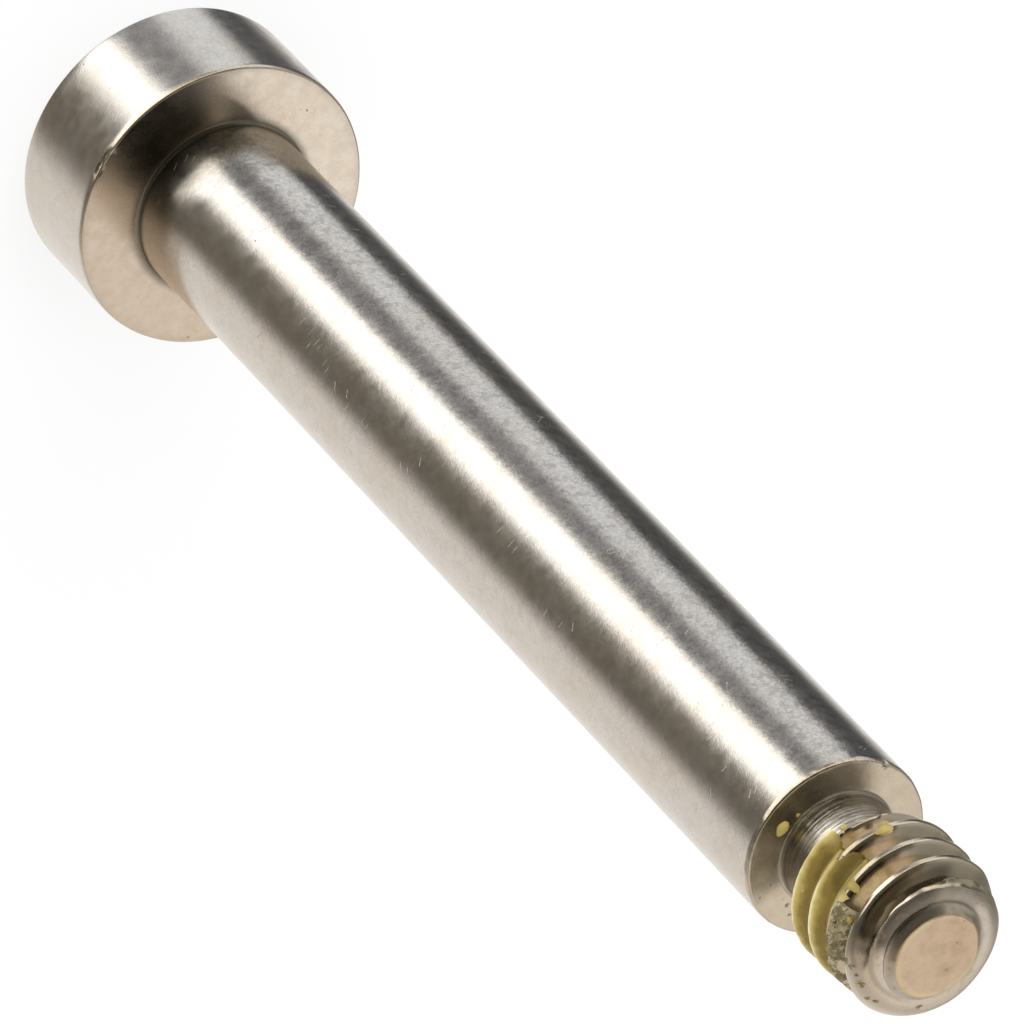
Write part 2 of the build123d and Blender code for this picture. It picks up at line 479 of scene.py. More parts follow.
def steel(name, base, roughness, grain, scuff=0, marks=(), detail=None, stain_and_painted_light=None):
    """Bare stainless steel: mottled, with fine grain, pits and short scratches.

    grain and scuff are the heights of its fine and coarse grain in millimetres, and marks are spots as
    (place, size, colour).
    detail adds height, and the colouring function changes the colour, with stains and on some faces painted
    light and shade, both from the place's radius, angle and height.
    """
    material, nodes, shader = new_material(name)
    place = nodes.place()
    radius, angle, z = nodes.polar(place)
    flat = nodes.unrolled(angle, z, SHOULDER_RADIUS)
    mottle = nodes.noise(place, 2.4, 5, 0.6)
    fine = nodes.noise(place, 24, 2, 0.6)
    clouds = nodes.smooth(nodes.noise(place, 0.7, 3), 0.35, 0.7)
    colour = nodes.mix(clouds, base, scaled(base, YELLOWED))
    colour = nodes.mix(nodes.smooth(fine, 0.3, 0.7, 0, 0.16), colour, scaled(base, DULLED))
    if stain_and_painted_light:
        colour = stain_and_painted_light(nodes, colour, mottle, radius, angle, z)
    pits = nodes.math("MAXIMUM", nodes.spots(place, 1.7, 0.045, 0.25), nodes.spots(place, 4.1, 0.07, 0.14))
    colour = nodes.mix(nodes.times(pits, 0.6), colour, BROWN)
    uneven = nodes.noise(place, 10, 3, 0.7)
    for spot, size, tint in marks:
        away = nodes.math("MULTIPLY_ADD", uneven, size * 4, nodes.vector("DISTANCE", place, spot))
        colour = nodes.mix(nodes.smooth(away, size * 2.4, size * 3, 0.85, 0), colour, tint)
    strokes = nodes.math("MAXIMUM", nodes.scratches(flat, 38, 0.16), nodes.scratches(flat, -62, 0.12))
    if scuff:
        # most on the side that it lies on, and little on the head
        off_head = (HEAD_HEIGHT, HEAD_HEIGHT + 0.2)
        worn_side = nodes.window(angle, (196, 214), (250, 260))
        share = nodes.math("MULTIPLY_ADD", worn_side, 0.7, 0.3)
        share = nodes.times(share, nodes.smooth(z, *off_head, 0.4, 1))
        speckle = nodes.smooth(nodes.noise(place, 9, 4, 0.7), 0.38, 0.62, 0, 0.5)
        blotch = nodes.smooth(nodes.noise(place, 3, 5, 0.8), 0.49, 0.58, 0, 0.8)
        dull = nodes.times(nodes.math("MAXIMUM", speckle, blotch), share)
        colour = nodes.mix(dull, colour, scaled(base, DULLED))
        nicks = nodes.math(
            "MAXIMUM",
            nodes.scratches(flat, 12, 0.15, 1.6, "2D"),
            nodes.scratches(flat, -35, 0.13, 1.6, "2D"),
        )
        nicks = nodes.times(nicks, nodes.smooth(z, *off_head))
        colour = nodes.mix(nodes.times(nicks, 0.9), colour, BRIGHT)
        rub = nodes.times(nodes.noise(place, 7, 2, 0.5), share)
        strokes = nodes.add_up(strokes, nicks, nodes.times(rub, -scuff / STROKE_DEPTH))
    height = nodes.add_up(
        nodes.times(fine, grain),
        nodes.times(mottle, grain * 2),
        nodes.times(pits, -PIT_DEPTH),
        nodes.times(strokes, -STROKE_DEPTH),
    )
    if detail:
        height = nodes.math("ADD", height, detail(nodes, radius, angle, z))
    tangent = nodes.add("Tangent", direction_type="RADIAL", axis="Z").outputs[0]
    surface = {
        "Base Color": colour,
        "Metallic": 1,
        "Roughness": nodes.smooth(mottle, 0.3, 0.7, roughness * 0.85, roughness * 1.2),
        "Anisotropic": ANISOTROPY,
        "Tangent": tangent,
        "Normal": nodes.bump(height),
    }
    nodes.fill(shader, surface)
    return material


# A detail gives a height for a place, and a colouring gives its colour: stains, and on several faces painted
# shade and highlight. No window over the angle is open where the angle jumps from 360 to 0.


def blend_at_head(nodes, radius, angle, z):
    """Near the head the ground surface swells by a few hundredths of a millimetre."""
    near = nodes.math("MAXIMUM", nodes.math("SUBTRACT", 5.5, z), 0)
    curved = nodes.math("MINIMUM", near, 1.08)
    straight = nodes.times(nodes.math("SUBTRACT", near, curved), 0.127)
    return nodes.add_up(nodes.times(curved, curved, 0.0588), straight)


def turning_rings(nodes, radius, angle, z):
    """Broken rings round the neck and faint ones on the thread."""
    rings = nodes.noise(nodes.vector("MULTIPLY", nodes.place(), (0.55, 0.55, 22)), 1, 4, 0.7)
    return nodes.times(rings, nodes.smooth(z, NECK_END, NECK_END + 0.2, 1, 0.08), 0.013)


def bearing_stain_and_painted_shade(nodes, colour, mottle, radius, angle, z):
    """The bearing face: tan on one side; a dark reflection of the shoulder painted on the other side, and
    painted contact shade along the shoulder's foot.
    """
    side = nodes.math("ABSOLUTE", nodes.math("SUBTRACT", angle, 180))
    colour = nodes.mix(nodes.smooth(nodes.sway(mottle, 60, side), 40, 130), colour, (0.64, 0.57, 0.5))
    colour = nodes.mix(nodes.smooth(radius, 3.7, 3.95, 0, 0.25), colour, (0.4, 0.35, 0.3))
    # painted reflection: a dark zone where the face mirrors the shoulder, painted into the colour and fading
    # outward
    painted_dark_reflection = nodes.window(angle, (226, 250), (280, 306))
    painted_dark_reflection = nodes.times(painted_dark_reflection, nodes.smooth(radius, 2.8, 3.9, 0.88, 0.65))
    colour = nodes.mix(painted_dark_reflection, colour, (0.1, 0.102, 0.094))
    # a dark stripe that leaves the shoulder and runs outward as the angle grows
    stripe = nodes.math("SUBTRACT", radius, nodes.math("MULTIPLY_ADD", angle, 0.034, -4.63))
    stripe = nodes.smooth(stripe, -0.14, 0.08, 0.75, 0)
    stripe = nodes.times(stripe, nodes.smooth(angle, 224, 240, 1, 0))
    colour = nodes.mix(stripe, colour, (0.16, 0.155, 0.135))
    # painted contact shade: the face darker towards the shoulder's foot
    return nodes.mix(nodes.smooth(radius, 2.4, 2.7, 0.85, 0), colour, (0.14, 0.135, 0.12))


def root_painted_shade(nodes, colour, mottle, radius, angle, z):
    """Painted shade where the shoulder meets the head: darker in the corner, on one side just above it, and
    low on its front.
    """
    side = nodes.window(angle, (150, 185), (214, 236), 0.65)
    colour = nodes.mix(nodes.times(side, nodes.smooth(z, 3.5, 3.85, 1, 0)), colour, (0.24, 0.235, 0.22))
    colour = nodes.mix(nodes.smooth(z, 3.38, 3.65, 0.6, 0), colour, (0.16, 0.15, 0.13))
    front = nodes.window(angle, (260, 276), (294, 316), 0.75)
    return nodes.mix(nodes.times(front, nodes.smooth(z, 4.1, 5.1, 1, 0)), colour, (0.17, 0.165, 0.15))


def end_painted_shade(nodes, colour, mottle, radius, angle, z):
    """Painted shade on the shoulder's end face: a mottled dark reflection of the neck, mostly on one side."""
    low = nodes.window(angle, (300, 322), (336, 358), 0.7)
    high = nodes.window(angle, (200, 235), (285, 315), 0.3)
    share = nodes.times(nodes.add_up(low, high), nodes.smooth(mottle, 0.3, 0.6, 0.7, 1))
    return nodes.mix(share, colour, (0.17, 0.155, 0.125))


def thread_stain_and_painted_light(nodes, colour, mottle, radius, angle, z):
    """Rings on the neck with painted highlight and shade; on the thread, painted copper reflections on the
    flanks, painted shade in the last groove and where it runs out, and dirt.
    """
    # turns are counted along the helix from the groove's start; a groove's middle is a whole turn
    turn = nodes.math("DIVIDE", nodes.math("SUBTRACT", z, GROOVE_HEIGHT), PITCH)
    turn = nodes.math("SUBTRACT", turn, nodes.math("DIVIDE", angle, 360))
    crest = nodes.math("FLOOR", turn)
    upper_side = nodes.smooth(nodes.math("FRACT", turn), 0.56, 0.66)
    upper_side = nodes.times(upper_side, nodes.smooth(mottle, 0.3, 0.6, 0.5, 1))
    lower_side = nodes.smooth(nodes.math("FRACT", nodes.math("ADD", turn, 0.5)), 0.1, 0.2)

    # painted reflection: a bright copper tint on the flanks' upper side, where they mirror warm light
    painted_copper_reflection = nodes.mix(nodes.smooth(mottle, 0.42, 0.58), (0.82, 0.62, 0.42), (0.72, 0.64, 0.5))
    third = nodes.math("MULTIPLY_ADD", nodes.math("COMPARE", crest, 3, 0.4), 0.4, 0.55)
    share = nodes.times(upper_side, nodes.window(angle, (228, 242), (275, 290)), third)
    colour = nodes.mix(share, colour, painted_copper_reflection)
    dull = nodes.times(
        nodes.window(angle, (248, 256), (310, 350)),
        nodes.math("COMPARE", crest, 1, 1.1),
        nodes.smooth(mottle, 0.35, 0.6, 0.9, 0.5),
    )
    colour = nodes.mix(dull, colour, (0.33, 0.28, 0.17))
    olive = nodes.times(
        nodes.smooth(angle, 222, 244, 0.55, 0),
        nodes.smooth(turn, 1.4, 1.6),
        nodes.smooth(angle, 140, 215),
        lower_side,
    )
    colour = nodes.mix(olive, colour, (0.27, 0.25, 0.18))
    # painted shade in the last groove, next to the point
    last = nodes.times(
        nodes.smooth(turn, 3.62, 3.8),
        nodes.window(angle, (205, 222), (298, 312)),
        nodes.smooth(z, 39.44, 39.52, 0.85, 0),
    )
    colour = nodes.mix(last, colour, (0.13, 0.12, 0.09))
    colour = run_out_painted_shade(nodes, colour, radius, angle, z)

    # the neck's turned rings, with painted highlight over one span of angles and painted shade darkening them
    # elsewhere
    rings = nodes.noise(nodes.vector("MULTIPLY", nodes.place(), (0.7, 0.7, 17)), 1, 3, 0.6)
    rings_with_painted_light = nodes.mix(nodes.smooth(rings, 0.36, 0.54), (0.3, 0.3, 0.29), (0.95, 0.93, 0.89))
    bright = nodes.window(angle, (226, 244), (270, 284))
    rings_with_painted_light = nodes.mix(bright, nodes.mix(0.7, rings_with_painted_light, (0.2, 0.19, 0.16)), rings_with_painted_light)
    return nodes.mix(nodes.smooth(z, NECK_END - 0.05, NECK_END + 0.15, 0.8, 0), colour, rings_with_painted_light)


def run_out_painted_shade(nodes, colour, radius, angle, z):
    """Painted shade: a soft dark stripe where the last groove has almost run out."""
    past = nodes.math("FLOORED_MODULO", nodes.math("ADD", angle, 160), 360)
    middle = nodes.smooth(past, 108, 180, 1.7, 1.4)
    away = nodes.math("ABSOLUTE", nodes.math("SUBTRACT", radius, middle))
    share = nodes.times(
        nodes.smooth(away, 0.02, 0.1, 0.35, 0),
        nodes.window(past, (96, 112), (170, 190)),
        nodes.smooth(z, 39.25, 39.35),
    )
    return nodes.mix(share, colour, (0.2, 0.175, 0.14))


def point_stain_and_painted_shade(nodes, colour, mottle, radius, angle, z):
    """The point's face has painted shade, darker towards its burred ridge and where the last groove runs out,
    and brown patches.
    """
    side = nodes.add_up(nodes.smooth(angle, 170, 195, 0, 0.62), nodes.smooth(angle, 226, 242, 0, 0.38))
    share = nodes.times(
        side,
        nodes.smooth(angle, 298, 316, 1, 0),
        nodes.smooth(nodes.sway(mottle, 0.35, radius), 1.42, 1.56, 0.86, 0.96),
        nodes.smooth(z, 39.56, 39.6),
        nodes.smooth(z, 39.625, 39.66, 1, 0.15),
    )
    colour = nodes.mix(share, colour, (0.12, 0.11, 0.095))
    colour = run_out_painted_shade(nodes, colour, radius, angle, z)
    return nodes.mix(nodes.smooth(mottle, 0.56, 0.66, 0, 0.35), colour, (0.38, 0.3, 0.2))


def disk_stain(nodes, colour, mottle, radius, angle, z):
    """The disk: paler and yellower round its rim, and greyer where it has been rubbed."""
    rim = nodes.smooth(nodes.sway(mottle, 0.3, radius), 0.93, 1.08, 0, 0.6)
    colour = nodes.mix(rim, colour, (0.68, 0.57, 0.4))
    return nodes.mix(nodes.smooth(mottle, 0.5, 0.64, 0, 0.4), colour, (0.47, 0.38, 0.3))


def patch_material():
    """Yellow-olive locking compound: paler over a crest and darker in a groove, partly from how thick it lies
    and partly as painted highlight and shade; crumbs beyond it.

    The mesh gives an attribute for how far down the compound lies, which also carries the painted highlight
    and shade, and film, 1 where there are only crumbs.
    """
    material, nodes, shader = new_material("patch_compound")
    place = nodes.place()
    lumps = nodes.noise(place, 3.4, 3)
    fine = nodes.noise(place, 17, 3, 0.6)
    depth_and_painted_light = nodes.add("Attribute", attribute_name="depth_and_painted_light").outputs["Fac"]
    film = nodes.add("Attribute", attribute_name="film").outputs["Fac"]
    depth_and_painted_light = nodes.sway(lumps, 0.5, depth_and_painted_light)
    # painted highlight and shade with the compound's own colour: pale where a crest's lower side catches the
    # light, darker into the grooves
    colour = nodes.mix(nodes.smooth(depth_and_painted_light, 0, 0.42), (0.83, 0.73, 0.44), (0.5, 0.4, 0.125))
    colour = nodes.mix(nodes.smooth(depth_and_painted_light, 0.35, 0.9), colour, (0.22, 0.15, 0.03))
    colour = nodes.mix(nodes.smooth(depth_and_painted_light, 0.95, 1.25), colour, (0.13, 0.09, 0.015))
    crumbs = nodes.noise(place, 6.5, 4, 0.62)
    residue = nodes.mix(nodes.smooth(crumbs, 0.41, 0.58), (0.16, 0.125, 0.06), (0.44, 0.375, 0.225))
    residue = nodes.mix(nodes.smooth(lumps, 0.5, 0.62, 0, 0.7), residue, (0.24, 0.2, 0.08))
    colour = nodes.mix(film, colour, residue)
    crumbled = nodes.times(nodes.smooth(crumbs, 0.42, 0.58, 0, 0.02), film)
    height = nodes.add_up(nodes.times(fine, 0.008), nodes.times(lumps, 0.02), crumbled)
    surface = {
        "Base Color": colour,
        "Roughness": nodes.smooth(lumps, 0.3, 0.7, 0.3, 0.5),
        "Specular IOR Level": 0.28,
        "Normal": nodes.bump(height),
    }
    nodes.fill(shader, surface)
    return material


# ---- bolt ----

GROUND, TURNED, BEARING, END, THREADED, POINT, DISK = range(7)

lathe = Lathe(COLUMNS)
around = lathe.angles
hexagon = SOCKET_FLAT_RADIUS / np.cos(np.radians(around % 60 - 30))

# socket, from the drill point out to the countersunk mouth
lathe.finish = TURNED
lathe.row(0, SOCKET_POINT_DEPTH)
lathe.line((0, SOCKET_POINT_DEPTH), (SOCKET_FLAT_RADIUS, SOCKET_DEPTH), 6)
lathe.row(hexagon, SOCKET_DEPTH)
mouth_edge = SOCKET_MOUTH_RADIUS - hexagon
lathe.line((hexagon, SOCKET_DEPTH), (hexagon, mouth_edge), 4)
lathe.line((hexagon, mouth_edge), (SOCKET_MOUTH_RADIUS, 0), 2)

# head; the rim under it has a nick, and rows close to a rim keep its sides straight in the shading
rim = HEAD_RADIUS - HEAD_DRIVE_ROUNDING
lathe.line((SOCKET_MOUTH_RADIUS, 0), (rim, 0), 8)
lathe.arc((rim, HEAD_DRIVE_ROUNDING), HEAD_DRIVE_ROUNDING, -80, 0, 5)
lathe.line((HEAD_RADIUS, HEAD_DRIVE_ROUNDING), (HEAD_RADIUS, HEAD_HEIGHT - 0.3), 12)
lathe.row(HEAD_RADIUS, HEAD_HEIGHT - 0.26)
lathe.row(HEAD_RADIUS, HEAD_HEIGHT - 0.22)
nick = hump(around, 292, 4.5) + 0.5 * hump(around, 287, 1.6)
nick = nick + 0.05 * ring_noise(around, 96, 17)
for inward, down in RIM_ROLL:
    lathe.row(HEAD_RADIUS - inward - 0.05 * nick * (down < 0.1), HEAD_HEIGHT - down - 0.07 * nick)
foot = SHOULDER_RADIUS + HEAD_FILLET
lathe.finish = BEARING
lathe.row(HEAD_RADIUS - 0.1 - 0.04 * nick, HEAD_HEIGHT)
lathe.line((HEAD_RADIUS - 0.1, HEAD_HEIGHT), (foot, HEAD_HEIGHT), 10)
lathe.arc((foot, HEAD_HEIGHT + HEAD_FILLET), HEAD_FILLET, 250, 180, 6)

# shoulder; the rim at its end has two small bruises
lathe.finish = GROUND
top = SHOULDER_END - 0.14
lathe.line((SHOULDER_RADIUS, HEAD_HEIGHT + HEAD_FILLET), (SHOULDER_RADIUS, top - 0.06), 40)
lathe.row(SHOULDER_RADIUS, top - 0.03)
lathe.row(SHOULDER_RADIUS, top)
bruise = 0.006 * ring_noise(around, 96, 18)
bruise = bruise + 0.03 * hump(around, 201, 1.8) + 0.008 * hump(around, 276, 2)
for inward, down in RIM_ROLL:
    lathe.row(SHOULDER_RADIUS - inward - bruise, SHOULDER_END - down - bruise)
lathe.finish = END
lathe.row(SHOULDER_RADIUS - 0.12, SHOULDER_END)
foot = NECK_RADIUS + NECK_FILLET
lathe.line((SHOULDER_RADIUS - 0.12, SHOULDER_END), (foot, SHOULDER_END), 6)
lathe.finish = THREADED
lathe.arc((foot, SHOULDER_END + NECK_FILLET), NECK_FILLET, 250, 180, 6)

# neck, with the fine rings that turning left
neck_rows = 44
neck_start = SHOULDER_END + NECK_FILLET
for step in range(1, neck_rows + 1):
    height = neck_start + (NECK_END - neck_start) * step / neck_rows
    ring = noise(0, height * 14, 3) * 0.6 + noise(0, height * 31, 4) * 0.4
    fade = 1 - ease(neck_rows - 4, neck_rows, step)
    lathe.row(NECK_RADIUS - RING_HEIGHT + RING_HEIGHT * ring * fade + RING_HEIGHT * (1 - fade), height)

# thread: its rows follow the helix, and the neck's end and the point's face cut them off
lower_side = [0, 0.05, 0.09, 0.14, 0.2, 0.26, 0.3, 0.325, 0.345]
upper_side = [0.397, 0.42, 0.44, 0.46, 0.48, 0.5, 0.52, 0.545, 0.57, 0.6, 0.64, 0.68, 0.71, 0.735, 0.76]
steps = np.array(lower_side + upper_side)
helix_turns = np.arange(-1, math.ceil((POINT_FACE - GROOVE_HEIGHT) / PITCH) + 1)
helix_heights = (helix_turns[:, None] * PITCH + steps[None]).ravel()
edge = np.full(COLUMNS, POINT_RADIUS)
for _ in range(40):
    thread_top = point_height(edge, around)
    edge = 0.7 * edge + 0.3 * np.maximum(tip_radius(around, thread_top), 1.5)
first_helix = len(lathe.rows)
for helix_height in helix_heights:
    height = GROOVE_HEIGHT + helix_height + PITCH * around / 360
    height = np.clip(height, NECK_END, thread_top)
    lathe.row(tip_radius(around, height), height)
last_helix = len(lathe.rows) - 1

# point: its face, and the raised disk, which isn't quite round
lathe.finish = POINT
foot = DISK_FOOT_RADIUS
for share in (0.1, 0.22, 0.35, 0.5, 0.65, 0.8, 1.0):
    radius = edge + (foot - edge) * share
    lathe.row(radius, point_height(radius, around))
disk = read(DISK_RADII, around) - 0.02
disk = disk + 0.01 * ring_noise(around, 32, 15)
for outward, height in DISK_WALL:
    lathe.row(disk + outward, POINT_FACE + height)
lathe.finish = DISK
disk = disk - 0.015
lathe.row(disk, DISK_TOP - 0.003)
for share in (0.96, 0.9, 0.75, 0.6, 0.45, 0.3, 0.15, 0.0):
    lathe.row(disk * share, DISK_TOP)

# marks on the steel: place, size and colour
SCUM = (0.2, 0.17, 0.05)
SOOT = (0.1, 0.08, 0.06)
POINT_MARKS = [
    ((1.765, -0.657, 39.42), 0.12, SCUM),
    ((1.874, -0.165, 39.42), 0.09, SCUM),
    ((1.789, 0.009, 39.5), 0.07, BROWN),
    ((1.175, 1.036, 39.6), 0.1, (0.2, 0.13, 0.05)),
    ((1.627, -1.144, 39.28), 0.1, SCUM),
    ((1.687, -0.919, 39.38), 0.06, BROWN),
    ((1.648, -1.245, 39.08), 0.13, SCUM),
]
SHANK_MARKS = [((2.2546, -0.7306, 33.002), 0.05, (0.2, 0.16, 0.07))]
BEARING_MARKS = [(on_face(3.271, 185.9, HEAD_HEIGHT), 0.045, BROWN)]
END_MARKS = [
    (on_face(radius, angle, SHOULDER_END), size, tint)
    for radius, angle, size, tint in (
        (2.158, 345.8, 0.045, BROWN),
        (1.774, 8.3, 0.07, BROWN),
        (1.961, 16.0, 0.06, BROWN),
        (1.807, 340.7, 0.05, BROWN),
        (1.847, 317.8, 0.04, (0.3, 0.25, 0.14)),
        (2.346, 157.2, 0.04, SOOT),
        (2.3, 201.0, 0.05, SOOT),
    )
]
DISK_MARKS = [
    (on_face(0.498, 166.8, DISK_TOP), 0.04, (0.3, 0.22, 0.15)),
    (on_face(0.524, 76.0, DISK_TOP), 0.07, (0.4, 0.31, 0.22)),
]

# a row on the thread runs into the row that lies one turn further up
closes_on = np.arange(len(lathe.rows))
closes_on[first_helix : last_helix + 1] = np.minimum(
    closes_on[first_helix : last_helix + 1] + len(steps), last_helix
)
bolt_mesh = grid_mesh("bolt", lathe.points(), np.array(lathe.finishes), closes_on)
bolt_steels = [
    steel("steel_ground", STEEL, 0.19, 0.0016, 0.003, SHANK_MARKS, blend_at_head, root_painted_shade),
    steel("steel_turned", STEEL, 0.21, 0.0016, 0.003),
    steel("steel_bearing", (0.8, 0.755, 0.7), 0.26, 0.0012, 0, BEARING_MARKS, blend_at_head, bearing_stain_and_painted_shade),
    steel("steel_end", (0.6, 0.55, 0.47), 0.24, 0.0012, 0, END_MARKS, None, end_painted_shade),
    steel("steel_thread", (0.61, 0.57, 0.51), 0.2, 0.0012, 0, POINT_MARKS, turning_rings, thread_stain_and_painted_light),
    steel("steel_point", (0.61, 0.575, 0.53), 0.27, 0.0025, 0, POINT_MARKS, None, point_stain_and_painted_shade),
    steel("steel_disk", (0.6, 0.49, 0.38), 0.3, 0.0025, 0, DISK_MARKS, None, disk_stain),
]
bolt = add_piece("bolt_body", bolt_mesh, bolt_steels, "shoulder_bolt")
bolt_mesh.set_sharp_from_angle(angle=math.radians(35))
bolt.modifiers.new("weighted_normals", "WEIGHTED_NORMAL").keep_sharp = True

# ---- locking patch ----


PINCHES = (((1, 1), (0, 1), (1, 0)), ((0, 1), (1, 1), (-1, 0)), ((1, 0), (1, 1), (0, -1)))


def without_pinches(buried):
    """Uncover buried corners until no edge between two buried corners has bare ones on both sides."""
    buried = buried.copy()
    found = True
    while found:
        found = False
        for end, left, right in PINCHES:
            around = [np.roll(buried, (-place[0], -place[1]), (0, 1)) for place in (end, left, right)]
            pinched = buried & around[0] & ~around[1] & ~around[2]
            rows, columns = np.nonzero(pinched[:-1, :-1])
            # at the grid's border the edge's other end is uncovered
            inner = (rows > 0) & (columns > 0)
            buried[rows + ~inner * end[0], columns + ~inner * end[1]] = False
            found = found or len(rows) > 0
    return buried


def shell_mesh(name, outer, inner, buried, attributes):
    """A closed skin from two grids of points; where the outer one is buried the two meet."""
    buried = without_pinches(buried)
    inner = np.where(buried[..., None], outer, inner)
    rows, columns, _ = outer.shape
    index = np.arange(rows * columns).reshape(rows, columns)
    a, b, c, d = index[:-1, :-1], index[:-1, 1:], index[1:, 1:], index[1:, :-1]
    corners = np.concatenate([np.stack([a, b, c], -1).reshape(-1, 3), np.stack([a, c, d], -1).reshape(-1, 3)])
    corners = corners[~buried.ravel()[corners].all(-1)]
    faces = np.concatenate([corners, corners[:, ::-1] + rows * columns])
    points = np.concatenate([outer.reshape(-1, 3), inner.reshape(-1, 3)]) * MM
    mesh = bpy.data.meshes.new(name)
    mesh.from_pydata(points.tolist(), [], faces.tolist())
    for key, values in attributes.items():
        layer = mesh.attributes.new(key, "FLOAT", "POINT")
        layer.data.foreach_set("value", np.tile(values.ravel(), 2).astype(np.float32))
    merge_corners(mesh)
    return mesh


# Places on the thread are an angle and a turn: the turns of the crests' middles are 0.5, 1.5, 2.5 and 3.5,
# and a groove's middle is a whole turn. The compound's start is an angle for each turn, and its far edge is
# a turn for each angle, with two teeth that hang over the third crest.
START = [
    (0.1, 271), (0.3, 266), (0.5, 263.5), (0.7, 262.5), (0.85, 264.5), (1.0, 266), (1.2, 269), (1.35, 273),
    (1.45, 275.5), (1.56, 274), (1.66, 264), (1.8, 260.5), (1.95, 261.5), (2.05, 257.5), (2.12, 259),
    (2.25, 262), (2.35, 266), (2.45, 274), (2.55, 276),
]
FAR_EDGE = [
    (250, 2.1), (258, 2.14), (262, 2.3), (267, 2.42), (272, 2.46), (274.5, 2.5), (277, 2.78), (281.5, 2.84),
    (283.5, 2.56), (285.5, 2.52), (287, 2.76), (291.5, 2.68), (294, 2.46), (300, 2.4), (345, 2.38),
    (400, 2.3), (450, 2.3),
]
LOW_EDGE = 0.2
PATCH_END = 437.0
DEGREE = 0.036  # along the thread
EDGE_WIDTH = 0.075  # that the compound thickens over
COAT = 0.05  # over a crest
THIN_COAT = 0.03  # beyond the last full groove
LAST_GROOVE = 2.2  # turns
DIP = 0.235  # of the compound's surface in a groove, and more in the first
FIRST_DIP = 0.5
SUNK = 0.04  # how far the skin lies in the steel where there is no compound
BURIED = -0.02
INNER_DEPTH = 0.045
MOST = THREAD_RADIUS + 0.075
# how far down the compound looks over one turn, from a groove's middle: its thickness, with painted highlight
# on the crests' lower side and painted shade in the grooves
SHADES = [
    (0.0, 1.12), (0.06, 0.7), (0.12, 0.35), (0.2, 0.2), (0.36, 0.1), (0.46, 0.12), (0.5, 0.3), (0.57, 0.55),
    (0.63, 0.75), (0.72, 0.95), (0.86, 1.1), (0.95, 1.2), (1.0, 1.12),
]


patch_angles = np.concatenate([np.arange(246, 352, 0.75), np.arange(352, 454, 1.5)])
patch_turns = np.concatenate([np.arange(0.02, 2.8, 0.025), np.arange(2.8, 3.5, 0.035)])
angles, turns = np.meshgrid(patch_angles, patch_turns)
heights = GROOVE_HEIGHT + PITCH * (turns + angles / 360)
metal = tip_radius(angles, heights)

# how far a place lies inside the compound's ragged outline
start = read(START, turns)
start = start + 1.8 * noise(turns * 9, 0.5, 23) + 1.4 * noise(turns * 23, 0.5, 24)
finish = PATCH_END + 11 * noise(turns * 2.3, 0.5, 29) + 4 * noise(turns * 11, 0.5, 30)
low = LOW_EDGE + 0.06 * noise(angles / 7, 0.5, 25) + 0.03 * noise(angles / 2.5, 0.5, 28)
high = read(FAR_EDGE, angles) + 0.025 * noise(angles / 4, 0.5, 26)
high = high + 0.012 * noise(angles / 1.7, 0.5, 27)
inside = np.minimum((angles - start) * DEGREE, (finish - angles) * DEGREE)
inside = np.minimum(inside, (turns - low) * PITCH)
inside = np.minimum(inside, (high - turns) * PITCH)
cover = ease(0.0, EDGE_WIDTH, inside)

# how thick it is there
dip = (1 + np.cos(2 * math.pi * turns)) / 2
lumps = 0.6 * noise(angles / 9, turns * 3, 21)
lumps = lumps + 0.4 * noise(angles / 3.5, turns * 7, 22)
first_dip = FIRST_DIP * (1 - ease(0.25, 0.55, turns)) * (turns < 0.5)
fill = THREAD_RADIUS + COAT - (DIP + first_dip) * dip + 0.016 * lumps
beyond = turns > LAST_GROOVE
least = np.where(beyond, 0.028, 0.02)
coat = np.maximum(smooth_max(fill * (turns < 2.3), metal + least, 0.02), 0) - metal
coat = np.where(beyond, np.minimum(coat, THIN_COAT + 0.1 * ease(2.3, 2.1, turns)), coat)
coat = coat * cover - SUNK * (1 - cover)

# residue: broken film and flakes beyond the third crest
flakes = 0.6 * noise(angles / 4.5, turns * 9, 31)
flakes = flakes + 0.4 * noise(angles / 2.2, turns * 17, 32)
ragged = angles + 22 * noise(turns * 4, angles / 20, 33)
zone = ease(288, 296, angles) * (1 - ease(345, 378, ragged)) * within(turns, (2.36, 2.42), (3.2, 3.4))
film = -0.05 + 0.068 * zone * ease(-0.95, -0.25, flakes) + 0.03 * zone * ease(0.1, 0.5, flakes)
is_film = ((film > coat) & (film > 0)).astype(float)
thickness = np.maximum(coat, film)

# how deep it looks: shifted where the photo shows it darker or paler than its place on the thread says
depth_and_painted_light = read(SHADES, np.mod(turns, 1))
depth_and_painted_light = depth_and_painted_light + (0.4 - depth_and_painted_light) * ease(2.36, 2.5, turns)
depth_and_painted_light = depth_and_painted_light - 0.35 * (1 - ease(268, 280, angles)) * (1 - ease(0.92, 1.08, turns))
depth_and_painted_light = depth_and_painted_light + 0.22 * (1 - ease(282, 292, angles)) * ease(1.1, 1.3, turns)
depth_and_painted_light = depth_and_painted_light - 0.2 * ease(288, 304, angles)

buried = thickness < BURIED
buried[0] = buried[-1] = True
buried[:, 0] = buried[:, -1] = True


def on_thread(radius):
    turn = np.radians(angles)
    return np.stack([radius * np.cos(turn), radius * np.sin(turn), heights], -1)


outer_points = on_thread(np.minimum(metal + thickness, MOST))
inner_points = on_thread(metal - INNER_DEPTH)
patch_mesh = shell_mesh("patch", outer_points, inner_points, buried, {"depth_and_painted_light": depth_and_painted_light, "film": is_film})
compound = patch_material()
add_piece("patch_body", patch_mesh, [compound], "locking_patch")

